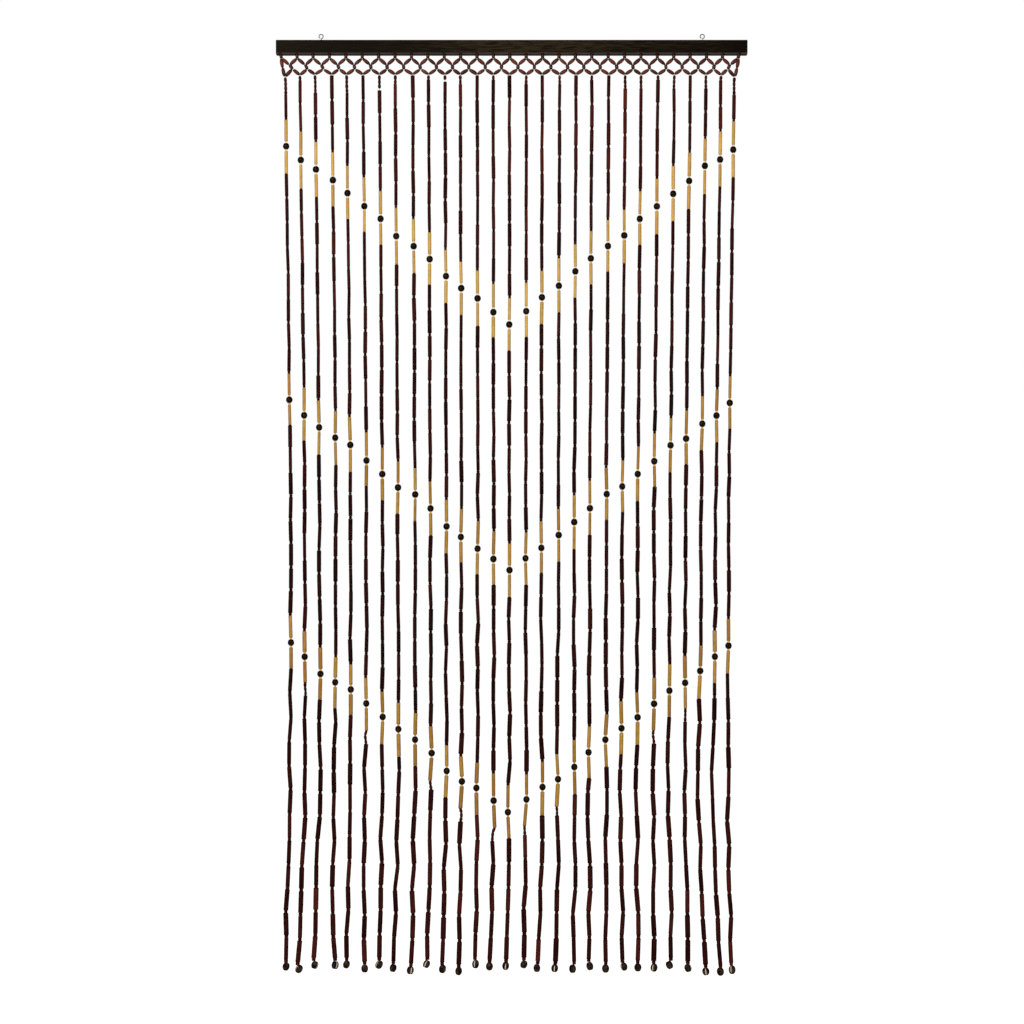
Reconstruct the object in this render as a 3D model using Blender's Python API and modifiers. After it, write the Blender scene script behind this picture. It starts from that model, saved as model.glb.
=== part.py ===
"""Bead door curtain on a wooden rail, hung by two screw eyes.

Metres, +Z up. The origin is the centre of the rail's back face. +Y points to the wall behind the
curtain, +X to the right as seen from the room, and the strands hang down along -Z. A drop is a distance
down from the rail's underside.
"""
import math
import random

import bmesh
import bpy
from mathutils import Matrix, Vector

MM = 0.001
WELD = 0.01 * MM

# Rail
RAIL_LENGTH = 903 * MM
RAIL_HEIGHT = 27.4 * MM
RAIL_DEPTH = 23 * MM
RAIL_EDGE = 0.6 * MM
RAIL_CHAMFER = 3 * MM

# Row of blind holes in the rail's underside, one for each strand
STRAND_COUNT = 29
HOLE_PITCH = 31.4 * MM
HOLE_ROW_SHIFT = -3.6 * MM
HOLE_INSET = 4.5 * MM
HOLE_DIAMETER = 7.6 * MM
HOLE_DEPTH = 9 * MM
HOLE_SIDES = 12
STUB_DEPTH = 5 * MM

# Screw eyes
EYE_INSET = 86 * MM
EYE_WIRE = 1.8 * MM
EYE_RING_RADIUS = 3.95 * MM
EYE_RISE = 8.1 * MM
EYE_SHANK = 12 * MM
EYE_START_ANGLE = math.radians(-68)
EYE_SWEEP = math.radians(315)
EYE_STEPS = 20
EYE_NECK_BEND = 0.3 * MM
EYE_NECK_RISE = 0.7 * MM
PILOT_CLEARANCE = 0.4 * MM
PILOT_SIDES = 12

# Heading net, drops of its knots and beads
SPLIT_DROP = 8.3 * MM
CROSSING_TOP = 20.6 * MM
CROSSING_BOTTOM = 28.3 * MM
APEX_DROP = 38.4 * MM
STRAND_TOP = 40.8 * MM
LEG_DROP = 25.6 * MM
LEG_BOW = 1.5 * MM
NET_THICKNESS = 5 * MM
CORD_WIDTH = 3.6 * MM
BARREL_WIDTH = 6 * MM

# How far the net's lower knots hang to the right of their holes
NET_DRIFT = 1.3 * MM

# How far the outer holes' strands are pulled towards the middle, from the edge strand inwards
EDGE_LEAN = (2.6 * MM, 1.2 * MM)
EDGE_PULL = (9.6 * MM, 4.8 * MM, 2.2 * MM)
EDGE_SAG = (4.2 * MM, 1.2 * MM)

# Beads
ROUND_DIAMETER = 12.2 * MM
SEED_LENGTH = 15.6 * MM
SEED_DIAMETER = 12 * MM
TUBE_LENGTH = 41.8 * MM
BEAD_LENGTHS = {
    "small": 8.3 * MM, "spacer": 5.2 * MM, "pale": 5 * MM,
    "short": 23 * MM, "joint": 1 * MM, "slack": 3.6 * MM,
}
TUBE_KINDS = ("tube", "natural", "short")
TUBE_DIAMETER_TOP = 6.3 * MM
TUBE_DIAMETER_FOOT = 8.6 * MM
TUBE_GROWTH = 1.6
NATURAL_DIAMETER = 6.2 * MM
BAND_NECK = 4.2 * MM
HEAD_DIAMETER = 3 * MM
HEAD_OVERLAP = 2.2 * MM
SHOULDER = 2.4 * MM
SEED_TIP = 3 * MM
STACK_DIAMETER = 5.2 * MM

# Tubes in each straight stretch of a strand's solid: above the bands, between them and below them
TUBES_PER_STRETCH = (4, 4, 2, 1)

# Drops of the black beads in mm, for strands 0, 1, 2 and so on in from either edge
BLACK_BEAD_DROPS = (
    # first band, second band, third band
    (179, 665, 1130),
    (201, 691, 1153),
    (216, 709, 1182),
    (242, 735, 1203),
    (265, 747, 1216),
    (289, 777, 1242),
    (314, 803, 1268),
    (347, 829, 1291),
    (368, 843, 1313),
    (391, 869, 1337),
    (422, 901, 1370),
    (446, 924, 1391),
    (467, 946, 1405),
    (492, 966, 1428),
    (518, 987, 1452),
)
SEED_DROP = 1749 * MM

# What fills the room under a strand's third band where whole tubes leave some
NONE = ()
PAIR = ("small", "small")
STACK = ("small", "small", "small")
SHORT = ("short", "spacer")

# Make-up of each strand, from the left edge
STRANDS = (
    # small beads at the head, filler, bands lower by mm, seed lower by mm,
    # head, knee and foot to the right by mm
    (4, NONE, -3, -2, -1.5, -1, 2),
    (1, STACK, 1, 3, 0, 1, -4),
    (4, NONE, 5, -5, 0, 1, -2),
    (0, SHORT, -1, -5, 3, -2, 8),
    (4, NONE, 1, -6, 0, 0, 1),
    (0, STACK, 1, 2, 0, -2, 5),
    (3, NONE, 1, -6, 0, 1, 2),
    (2, SHORT, 1, 1, -1, 2, -2),
    (0, NONE, 0, 5, 1, 1, -1),
    (1, PAIR, 1, -7, 0, 2, 0),
    (1, NONE, 3, 3, 0, 0, -3),
    (2, STACK, 1, 7, -2, 1, 0),
    (0, NONE, 0, -7, -1, 0, -2),
    (1, STACK, 1, -2, -1.5, 2, -4),
    (0, NONE, 0, -3, -2, 1, -3),
    (2, PAIR, -1, -6, -1, 1, -1),
    (0, NONE, -1, 1, -2, 2, -5),
    (2, PAIR, -3, 1, 0, 0, -4),
    (0, NONE, -6, 2, 0, 2, 1),
    (1, SHORT, 0, -3, -1, -1, -1),
    (0, NONE, -1, 2, 0, 1, -1),
    (3, SHORT, -1, -2, 0, -2, 0),
    (3, NONE, 1, 0, -1, -1, -1),
    (1, STACK, 2, 0, 0, -1, -3),
    (3, NONE, 2, -5, 0, -2, -1),
    (0, STACK, 1, 1, -1, 0, 2),
    (3, NONE, -2, 7, 0, -4, 6),
    (1, SHORT, 0, 8, 0, -5, 6),
    (4, NONE, 3, 4, -1, 0, 1),
)
SLACK_STRANDS = (6, 10)

# How the curtain narrows and drifts on its way down
HANG = (
    # drop, narrowing towards the middle as a share of the width, drift to the left
    (0 * MM, 0.0, 0 * MM),
    (220 * MM, 0.0055, 0 * MM),
    (480 * MM, 0.0145, 0 * MM),
    (860 * MM, 0.0245, 0.4 * MM),
    (1240 * MM, 0.0265, 0.9 * MM),
    (1430 * MM, 0.0255, 1.8 * MM),
    (1630 * MM, 0.014, 2.6 * MM),
    (1760 * MM, 0.007, 3.9 * MM),
)

# Where a strand's own knee is, how far it reaches up and down, and how high up its foot's lean begins
KNEE_DROP = 1400 * MM
KNEE_REACH = 330 * MM
LEAN_LENGTH = 115 * MM

# Unevenness of the hand stringing
STRINGING_SEED = 41
ROUND_PLAY = 0.8 * MM
TUBE_PLAY = 0.06
SWAY_TOP = 0.5 * MM
SWAY_FOOT = 3.4 * MM
SWAY_GROWTH = 2.5
DEPTH_SWAY = 0.7

UNDERSIDE = -RAIL_HEIGHT / 2
NET_Y = HOLE_INSET - RAIL_DEPTH
MIDDLE_STRAND = (STRAND_COUNT - 1) // 2


def new_collection(name):
    collection = bpy.data.collections.new(name)
    bpy.context.scene.collection.children.link(collection)
    return collection


def new_material(name, colour, roughness, metallic=0.0):
    material = bpy.data.materials.new(name)
    material.use_nodes = True
    shader = material.node_tree.nodes["Principled BSDF"]
    shader.inputs["Base Color"].default_value = (*colour, 1.0)
    shader.inputs["Roughness"].default_value = roughness
    shader.inputs["Metallic"].default_value = metallic
    material.diffuse_color = (*colour, 1.0)
    return material


def move_to(piece, collection):
    for owner in list(piece.users_collection):
        owner.objects.unlink(piece)
    collection.objects.link(piece)


def add_cutter(name, radius, low, high, x, y, sides, collection):
    """Upright cylinder from one height to another."""
    bpy.ops.mesh.primitive_cylinder_add(
        vertices=sides, radius=radius, depth=high - low, location=(x, y, (low + high) / 2))
    cutter = bpy.context.object
    cutter.name = name
    cutter.hide_render = True
    cutter.display_type = "WIRE"
    move_to(cutter, collection)


def add_poly_spline(curve, points, radii=None, cyclic=False):
    spline = curve.splines.new("POLY")
    spline.points.add(len(points) - 1)
    for index, point in enumerate(points):
        spline.points[index].co = (*point, 1.0)
        if radii:
            spline.points[index].radius = radii[index]
    spline.use_cyclic_u = cyclic


def curve_to_mesh(curve_object, name):
    """Closed mesh object of a curve, with the caps welded on, in place of the curve."""
    depsgraph = bpy.context.evaluated_depsgraph_get()
    mesh = bpy.data.meshes.new_from_object(curve_object.evaluated_get(depsgraph))
    mesh.name = name
    work = bmesh.new()
    work.from_mesh(mesh)
    bmesh.ops.remove_doubles(work, verts=work.verts, dist=WELD)
    bmesh.ops.recalc_face_normals(work, faces=work.faces)
    work.to_mesh(mesh)
    work.free()
    piece = bpy.data.objects.new(name, mesh)
    piece.matrix_world = curve_object.matrix_world
    for owner in list(curve_object.users_collection):
        owner.objects.link(piece)
    bpy.data.objects.remove(curve_object)
    return piece


def steps_from_edge(number):
    return min(number, STRAND_COUNT - 1 - number)


def inward(number, amounts):
    """Shift towards the middle for a strand near either edge, positive along +X."""
    steps = steps_from_edge(number)
    if steps >= len(amounts):
        return 0.0
    return math.copysign(amounts[steps], MIDDLE_STRAND - number)


def hole_x(number):
    return HOLE_ROW_SHIFT + (number - MIDDLE_STRAND) * HOLE_PITCH


def strand_x(number):
    head = STRANDS[number][4] * MM
    return hole_x(number) + NET_DRIFT + inward(number, EDGE_PULL) + head


def edge_sag(number):
    steps = steps_from_edge(number)
    return EDGE_SAG[steps] if steps < len(EDGE_SAG) else 0.0


def hang_at(drop):
    """Narrowing and drift at a drop, read from the table between its rows."""
    for (low, narrow_low, drift_low), (high, narrow_high, drift_high) in zip(HANG, HANG[1:]):
        if drop <= high:
            share = max(0.0, (drop - low) / (high - low))
            narrowing = narrow_low + share * (narrow_high - narrow_low)
            return narrowing, drift_low + share * (drift_high - drift_low)
    return HANG[-1][1:]


def tube_diameter(drop):
    share = max(0.0, min(1.0, drop / SEED_DROP))
    return TUBE_DIAMETER_TOP + (TUBE_DIAMETER_FOOT - TUBE_DIAMETER_TOP) * share ** TUBE_GROWTH


def fill_section(kinds, top, bottom, luck):
    """Beads as (kind, top, bottom), with the tubes sharing the room that the small beads leave."""
    weights = [1 + luck.uniform(-TUBE_PLAY, TUBE_PLAY) if kind not in BEAD_LENGTHS else 0 for kind in kinds]
    room = bottom - top - sum(BEAD_LENGTHS.get(kind, 0) for kind in kinds)
    beads = []
    for kind, weight in zip(kinds, weights):
        length = BEAD_LENGTHS.get(kind, room * weight / sum(weights))
        beads.append((kind, top, top + length))
        top += length
    return beads


def string_beads(number):
    """Beads of one strand from the net down, each as (kind, top, bottom)."""
    luck = random.Random(STRINGING_SEED + number)
    small_beads, filler, lower_bands, lower_seed = STRANDS[number][:4]
    rows = BLACK_BEAD_DROPS[steps_from_edge(number)]
    blacks = [(drop + lower_bands) * MM + luck.uniform(-ROUND_PLAY, ROUND_PLAY) for drop in rows]
    seed_top = SEED_DROP + lower_seed * MM - SEED_LENGTH / 2
    head = ["small"] * small_beads + ["slack"] * (number in SLACK_STRANDS)
    above = ["natural", "pale"]
    below = ["pale", "natural", "joint"]
    ends = ((head, above), (below, above), (below, above), (below + list(filler), []))
    beads = []
    top = STRAND_TOP + edge_sag(number)
    for (first, last), black in zip(ends, blacks + [seed_top + ROUND_DIAMETER / 2]):
        bottom = black - ROUND_DIAMETER / 2
        room = bottom - top - sum(BEAD_LENGTHS.get(kind, TUBE_LENGTH) for kind in first + last)
        tubes = round(room / (TUBE_LENGTH + BEAD_LENGTHS["spacer"]))
        beads += fill_section(first + ["tube", "spacer"] * tubes + last, top, bottom, luck)
        top = bottom + ROUND_DIAMETER
        beads.append(("round", bottom, top))
    beads[-1] = ("seed", seed_top, seed_top + SEED_LENGTH)
    return beads


def hang_corners(number, beads):
    """Corners of a strand's line as (drop, x, y), one at each joint between two tubes."""
    luck = random.Random(STRINGING_SEED + STRAND_COUNT + number)
    start = strand_x(number)
    knee, foot = (STRANDS[number][column] * MM for column in (5, 6))
    corners = [(beads[0][1], start, NET_Y)]
    for kind, top, bottom in beads:
        if kind in TUBE_KINDS or kind == "pale":
            continue
        drop = (top + bottom) / 2
        narrowing, drift = hang_at(drop)
        near_knee = max(0.0, 1 - abs(drop - KNEE_DROP) / KNEE_REACH)
        near_foot = min(1.0, max(0.0, 1 - (SEED_DROP - drop) / LEAN_LENGTH))
        sway = SWAY_TOP + (SWAY_FOOT - SWAY_TOP) * (drop / SEED_DROP) ** SWAY_GROWTH
        x = start * (1 - narrowing) - drift + knee * near_knee + foot * near_foot
        x += luck.uniform(-sway, sway) * (1 - near_foot)
        y = NET_Y + DEPTH_SWAY * luck.uniform(-sway, sway)
        corners.append((drop, x, y))
    return corners


def point_at(corners, drop):
    """Point of a strand's line at a drop."""
    for (low, x_low, y_low), (high, x_high, y_high) in zip(corners, corners[1:]):
        if drop <= high:
            break
    share = (drop - low) / (high - low)
    return Vector((x_low + share * (x_high - x_low), y_low + share * (y_high - y_low), UNDERSIDE - drop))


def strand_rings(beads):
    """Sections of a strand's solid as (drop, diameter), from inside the net down to the seed's foot."""
    first, strand_top = beads[0][:2]
    shoulder = STACK_DIAMETER if first == "small" else tube_diameter(strand_top)
    rings = [(strand_top - HEAD_OVERLAP, HEAD_DIAMETER), (strand_top + SHOULDER, shoulder)]
    bands_passed = 0
    joints_passed = 0
    for index, (kind, top, bottom) in enumerate(beads):
        middle = (top + bottom) / 2
        if kind == "round":
            neck = BEAD_LENGTHS["pale"] / 2
            rings += [(top - neck, BAND_NECK), (middle, ROUND_DIAMETER), (bottom + neck, BAND_NECK)]
            bands_passed += 1
            joints_passed = 0
        elif kind == "joint":
            rings.append((middle, NATURAL_DIAMETER))
        elif kind == "spacer":
            joints_passed += 1
            beside_band = beads[index + 1][0] == "natural"
            if beside_band or joints_passed % TUBES_PER_STRETCH[bands_passed] == 0:
                rings.append((middle, tube_diameter(middle)))
        elif kind == "small" and beads[index + 1][0] != "small":
            rings.append((middle, STACK_DIAMETER))
        elif kind == "seed":
            rings[-1] = (top - BEAD_LENGTHS["spacer"], tube_diameter(top))
            rings += [(top, SEED_TIP), (middle, SEED_DIAMETER), (bottom, SEED_TIP)]
    return rings


def add_strands(collection):
    """All the strands as four-sided curves in one mesh object.

    Each head goes upright into the net, so that all the strands have their corners the same way round.
    """
    curve = bpy.data.curves.new("strands", "CURVE")
    curve.dimensions = "3D"
    curve.resolution_u = 1
    curve.bevel_depth = MM
    curve.bevel_resolution = 0
    curve.use_fill_caps = True
    for number in range(STRAND_COUNT):
        beads = string_beads(number)
        corners = hang_corners(number, beads)
        rings = strand_rings(beads)
        points = [point_at(corners, drop) for drop, diameter in rings]
        points[0].xy = points[1].xy
        add_poly_spline(curve, points, [diameter / 2 / MM for drop, diameter in rings])
    strands = bpy.data.objects.new("strands_curve", curve)
    collection.objects.link(strands)
    return curve_to_mesh(strands, "strands")


def net_points():
    """Middle points of the net's knots and beads, as (kind, x, z) in lists by strand.

    A stub crosses its hole's axis at half its depth in the hole, so a leaning one keeps clear too.
    """
    numbers = range(STRAND_COUNT)
    lean_back = STUB_DEPTH / (2 * SPLIT_DROP + STUB_DEPTH)
    ends = [("end", hole_x(n) - inward(n, EDGE_LEAN) * lean_back, UNDERSIDE + STUB_DEPTH) for n in numbers]
    splits = [("knot", hole_x(n) + inward(n, EDGE_LEAN), UNDERSIDE - SPLIT_DROP) for n in numbers]
    apexes = [("knot", strand_x(n), UNDERSIDE - APEX_DROP - edge_sag(n)) for n in numbers]
    roots = [("end", strand_x(n), UNDERSIDE - STRAND_TOP - edge_sag(n)) for n in numbers]
    tops, bottoms = [], []
    for n in range(STRAND_COUNT - 1):
        tops.append(("crossing", (splits[n][1] + splits[n + 1][1]) / 2, UNDERSIDE - CROSSING_TOP))
        bottoms.append(("crossing", (apexes[n][1] + apexes[n + 1][1]) / 2, UNDERSIDE - CROSSING_BOTTOM))
    return ends, splits, tops, bottoms, apexes, roots


def outer_leg(number, split, apex):
    """Waist between the two barrels of the leg at the net's left or right edge."""
    bow = math.copysign(LEG_BOW, number - MIDDLE_STRAND)
    return ("leg", (split[1] + apex[1]) / 2 + bow, UNDERSIDE - LEG_DROP)


def offset_outline(loop):
    """Outline beside a closed loop of (kind, x, z) points, on the left as one walks it.

    It keeps half a cord's width away at the knots, and half a barrel's width away in the middle of each
    bead, and it goes squarely round an end.
    """
    outline = []
    count = len(loop)
    for index, (kind, x, z) in enumerate(loop):
        before = loop[index - 1]
        after = loop[(index + 1) % count]
        here = Vector((x, z))
        arrive = (here - Vector(before[1:])).normalized()
        leave = (Vector(after[1:]) - here).normalized()
        side_in = Vector((-arrive.y, arrive.x))
        side_out = Vector((-leave.y, leave.x))
        half = CORD_WIDTH / 2
        if kind == "end":
            outline += [here + side_in * half, here + side_out * half]
        else:
            outline.append(here + (side_in + side_out) * half / (1 + side_in.dot(side_out)))
        if kind != "end" and after[0] != "end":
            outline.append((here + Vector(after[1:])) / 2 + side_out * BARREL_WIDTH / 2)
    return outline


def add_net(collection):
    """Heading net as one flat mesh: an outline with a lozenge hole under each stub."""
    ends, splits, tops, bottoms, apexes, roots = net_points()
    last = STRAND_COUNT - 1
    left_leg = outer_leg(0, splits[0], apexes[0])
    right_leg = outer_leg(last, splits[last], apexes[last])
    along_top, along_foot = [], []
    for n in range(STRAND_COUNT):
        along_top += [splits[n], ends[n], splits[n]] + tops[n:n + 1]
        along_foot += [apexes[n], roots[n], apexes[n]] + bottoms[n:n + 1]
    loops = [along_top + [right_leg] + along_foot[::-1] + [left_leg]]
    for n in range(STRAND_COUNT):
        left = [tops[n - 1], bottoms[n - 1]] if n > 0 else [left_leg]
        right = [bottoms[n], tops[n]] if n < last else [right_leg]
        loops.append([splits[n]] + left + [apexes[n]] + right)

    curve = bpy.data.curves.new("net", "CURVE")
    curve.dimensions = "2D"
    curve.resolution_u = 1
    curve.fill_mode = "BOTH"
    curve.extrude = NET_THICKNESS / 2
    for loop in loops:
        add_poly_spline(curve, [(*corner, 0.0) for corner in offset_outline(loop)], cyclic=True)
    net = bpy.data.objects.new("net_curve", curve)
    net.matrix_world = Matrix.Translation((0, NET_Y, 0)) @ Matrix.Rotation(math.pi / 2, 4, "X")
    collection.objects.link(net)
    return curve_to_mesh(net, "bead_curtain")


def make_bead_curtain(collection, cutters, material):
    """Heading net with the strands grown onto its roots."""
    curtain = add_net(collection)
    strands = add_strands(collection)
    move_to(strands, cutters)
    strands.hide_render = True
    strands.display_type = "WIRE"
    union = curtain.modifiers.new("strands", "BOOLEAN")
    union.operation = "UNION"
    union.object = strands
    curtain.data.materials.append(material)


def make_rail(collection, cutters, material):
    """Batten with a bevel along its lower front edge, a row of blind holes below and two pilot holes above."""
    bpy.ops.mesh.primitive_cube_add(size=1, location=(0, -RAIL_DEPTH / 2, 0))
    rail = bpy.context.object
    rail.name = "rail"
    rail.scale = (RAIL_LENGTH, RAIL_DEPTH, RAIL_HEIGHT)
    bpy.ops.object.transform_apply(location=False, rotation=False, scale=True)
    work = bmesh.new()
    work.from_mesh(rail.data)
    lower_front = [edge for edge in work.edges if all(end.co.y < 0 and end.co.z < 0 for end in edge.verts)]
    bmesh.ops.bevel(work, geom=lower_front, offset=RAIL_CHAMFER, segments=1, affect="EDGES")
    work.to_mesh(rail.data)
    work.free()
    bevel = rail.modifiers.new("softened edges", "BEVEL")
    bevel.width = RAIL_EDGE
    bevel.segments = 1
    for number in range(STRAND_COUNT):
        add_cutter("strand_hole", HOLE_DIAMETER / 2, UNDERSIDE - HOLE_DEPTH, UNDERSIDE + HOLE_DEPTH,
                   hole_x(number), NET_Y, HOLE_SIDES, cutters)
    pilot_radius = EYE_WIRE / 2 + PILOT_CLEARANCE
    pilot_bottom = RAIL_HEIGHT / 2 - EYE_SHANK - PILOT_CLEARANCE
    for side in (-1, 1):
        add_cutter("pilot_hole", pilot_radius, pilot_bottom, pilot_bottom + 2 * EYE_SHANK,
                   side * (RAIL_LENGTH / 2 - EYE_INSET), -RAIL_DEPTH / 2, PILOT_SIDES, cutters)
    drilling = rail.modifiers.new("holes", "BOOLEAN")
    drilling.operation = "DIFFERENCE"
    drilling.operand_type = "COLLECTION"
    drilling.collection = cutters
    rail.data.materials.append(material)
    move_to(rail, collection)


def make_screw_eye(name, x, collection, material):
    """One wire: a straight shank, a bent neck and a ring that nearly closes."""
    curve = bpy.data.curves.new(name, "CURVE")
    curve.dimensions = "3D"
    curve.resolution_u = 1
    curve.bevel_depth = EYE_WIRE / 2
    curve.bevel_resolution = 2
    curve.use_fill_caps = True
    neck = EYE_RISE - EYE_RING_RADIUS - EYE_WIRE
    points = [(0, 0, -EYE_SHANK), (0, 0, neck), (EYE_NECK_BEND, 0, neck + EYE_NECK_RISE)]
    for step in range(EYE_STEPS + 1):
        angle = EYE_START_ANGLE + EYE_SWEEP * step / EYE_STEPS
        ring_x = EYE_RING_RADIUS * math.cos(angle)
        ring_z = EYE_RISE + EYE_RING_RADIUS * math.sin(angle)
        points.append((ring_x, 0, ring_z))
    add_poly_spline(curve, points)
    curve.materials.append(material)
    eye = bpy.data.objects.new(name, curve)
    eye.location = (x, -RAIL_DEPTH / 2, RAIL_HEIGHT / 2)
    collection.objects.link(eye)


def main():
    for piece in list(bpy.data.objects):
        bpy.data.objects.remove(piece)
    parts = new_collection("bead_door_curtain")
    rail_cutters = new_collection("rail_cutters")
    strand_guides = new_collection("strand_guides")
    stained_wood = new_material("stained_wood", (0.020, 0.014, 0.010), 0.45)
    stained_bamboo = new_material("stained_bamboo", (0.075, 0.016, 0.010), 0.38)
    eye_metal = new_material("eye_metal", (0.45, 0.44, 0.36), 0.35, metallic=1.0)
    make_rail(parts, rail_cutters, stained_wood)
    make_bead_curtain(parts, strand_guides, stained_bamboo)
    eye_x = RAIL_LENGTH / 2 - EYE_INSET
    make_screw_eye("screw_eye_left", -eye_x, parts, eye_metal)
    make_screw_eye("screw_eye_right", eye_x, parts, eye_metal)


main()
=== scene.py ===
"""Looks of a bead door curtain on its wooden rail, laid out as an add-on.

Metres, +Z up. The origin is the centre of the rail's back face, +Y points to the wall behind the curtain
and +X to the right as seen from the room. A drop is a distance down from the rail's underside.
"""
import math
import random

import bpy
import numpy as np
from bpy.props import FloatProperty, FloatVectorProperty, PointerProperty
from bpy.types import Operator, Panel, PropertyGroup
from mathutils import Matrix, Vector


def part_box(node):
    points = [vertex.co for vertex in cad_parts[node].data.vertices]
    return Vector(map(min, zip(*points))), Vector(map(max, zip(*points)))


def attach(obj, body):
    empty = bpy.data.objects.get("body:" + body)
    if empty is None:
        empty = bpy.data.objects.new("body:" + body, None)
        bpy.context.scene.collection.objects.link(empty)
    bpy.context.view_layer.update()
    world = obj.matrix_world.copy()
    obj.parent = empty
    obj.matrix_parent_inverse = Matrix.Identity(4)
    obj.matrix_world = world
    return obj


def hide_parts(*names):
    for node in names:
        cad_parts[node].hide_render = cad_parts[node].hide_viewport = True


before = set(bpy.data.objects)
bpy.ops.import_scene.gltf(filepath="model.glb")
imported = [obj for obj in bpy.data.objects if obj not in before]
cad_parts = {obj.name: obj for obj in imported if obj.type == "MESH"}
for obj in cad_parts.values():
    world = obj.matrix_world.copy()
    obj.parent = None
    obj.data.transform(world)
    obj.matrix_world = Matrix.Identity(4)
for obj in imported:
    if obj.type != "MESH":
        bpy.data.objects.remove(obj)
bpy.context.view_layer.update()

bl_info = {
    "name": "Bead door curtain",
    "version": (1, 0, 0),
    "blender": (4, 5, 0),
    "location": "3D View > Sidebar > Bead curtain",
    "description": "Strings and finishes a bamboo bead curtain on its wooden rail",
    "category": "Object",
}

MM = 0.001
RAIL_LOW, RAIL_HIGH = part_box("rail")
RAIL_TOP = RAIL_HIGH.z
RAIL_DEPTH = RAIL_HIGH.y - RAIL_LOW.y
RAIL_MIDDLE_Y = (RAIL_LOW.y + RAIL_HIGH.y) / 2
UNDERSIDE = RAIL_LOW.z

# Rail: reach of its bevel, which carries a painted reflection of the bright floor, where its stain is
# thinnest and how far that reaches, and its rubbed arrises
BEVEL_REFLECTION_REACH = 3.1 * MM
HAZE_PLACE = 30 * MM
HAZE_REACH = 310 * MM
ARRIS_WEAR = (1.0 * MM, 1.9 * MM)
ARRIS_RAGGEDNESS = 1.6 * MM

# Row of blind holes in the rail's underside, one for each strand
STRAND_COUNT = 29
MIDDLE_STRAND = (STRAND_COUNT - 1) // 2
HOLE_PITCH = 31.4 * MM
HOLE_ROW_SHIFT = -3.6 * MM
HOLE_INSET = 4.5 * MM
HOLE_RADIUS = 3.8 * MM
# How far the painted floor reflection on the rail keeps back from the edge of each hole, so the hole mouths
# stay dark
HOLE_BORDER = (0.05 * MM, 0.4 * MM)
NET_Y = RAIL_LOW.y + HOLE_INSET
STUB_DEPTH = 5 * MM

# Screw eyes
EYE_RISE = 8.1 * MM
EYE_SHANK = 12 * MM
EYE_NECK_BEND = 0.3 * MM
EYE_NECK_RISE = 0.7 * MM
EYE_START_ANGLE = math.radians(-68)
EYE_SWEEP = math.radians(315)
EYE_STEPS = 56
EYE_SIDES = 14

# Heading net: drops of its knots and of the ends of its beads
SPLIT_DROP = 8.3 * MM
BARREL_TOP = 8.3 * MM
BARREL_CROSSING = 18.9 * MM
CROSSING_TOP = 19.2 * MM
CROSSING_BOTTOM = 28.0 * MM
BARREL_FORK = 29.3 * MM
BARREL_FOOT = 37.6 * MM
APEX_DROP = 38.6 * MM
STRAND_TOP = 40.2 * MM
LEG_DROP = 25.6 * MM

# How far the ends of the net's barrels sit beside their knots, and how far its outer legs bow out
BARREL_ASIDE = 1.3 * MM
CROSSING_ASIDE = 1.7 * MM
FOOT_ASIDE = 0.8 * MM
LEG_BOW = 1.5 * MM

# Room between a bead of the net and its knot, and the width of the collar inside a hole
STUB_ROOM = 1.0 * MM
LEG_ROOM = 0.3 * MM
LEG_FOOT_ROOM = 1.2 * MM
COLLAR_WIDTH = 5 * MM

# How far the net's lower knots hang to the right of their holes
NET_DRIFT = 1.3 * MM

# How far the outer holes' strands are pulled towards the middle, from the edge strand inwards
EDGE_LEAN = (2.6 * MM, 1.2 * MM)
EDGE_PULL = (9.6 * MM, 4.8 * MM, 2.2 * MM)
EDGE_SAG = (4.2 * MM, 1.2 * MM)

# Stringing of the beads, with the length of each kind that isn't a whole tube
ROUND_DIAMETER = 12.2 * MM
SEED_LENGTH = 15.6 * MM
TUBE_LENGTH = 41.8 * MM
BEAD_LENGTHS = {
    "small": 8.3 * MM, "spacer": 5.2 * MM, "pale": 3.2 * MM,
    "short": 23 * MM, "joint": 1 * MM, "slack": 3.6 * MM,
}
TUBE_KINDS = ("tube", "natural", "short")
TUBE_GROWTH = 2.0

# Drops of the black beads in mm, for strands 0, 1, 2 and so on in from either edge
BLACK_BEAD_DROPS = (
    # first band, second band, third band
    (179, 665, 1130),
    (201, 691, 1153),
    (216, 709, 1182),
    (242, 735, 1203),
    (265, 747, 1216),
    (289, 777, 1242),
    (314, 803, 1268),
    (347, 829, 1291),
    (368, 843, 1313),
    (391, 869, 1337),
    (422, 901, 1370),
    (446, 924, 1391),
    (467, 946, 1405),
    (492, 966, 1428),
    (518, 987, 1452),
)
SEED_DROP = 1749 * MM

# What fills the room under a strand's third band where whole tubes leave some
NONE = ()
PAIR = ("small", "small")
STACK = ("small", "small", "small")
SHORT = ("short", "spacer")

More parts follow.
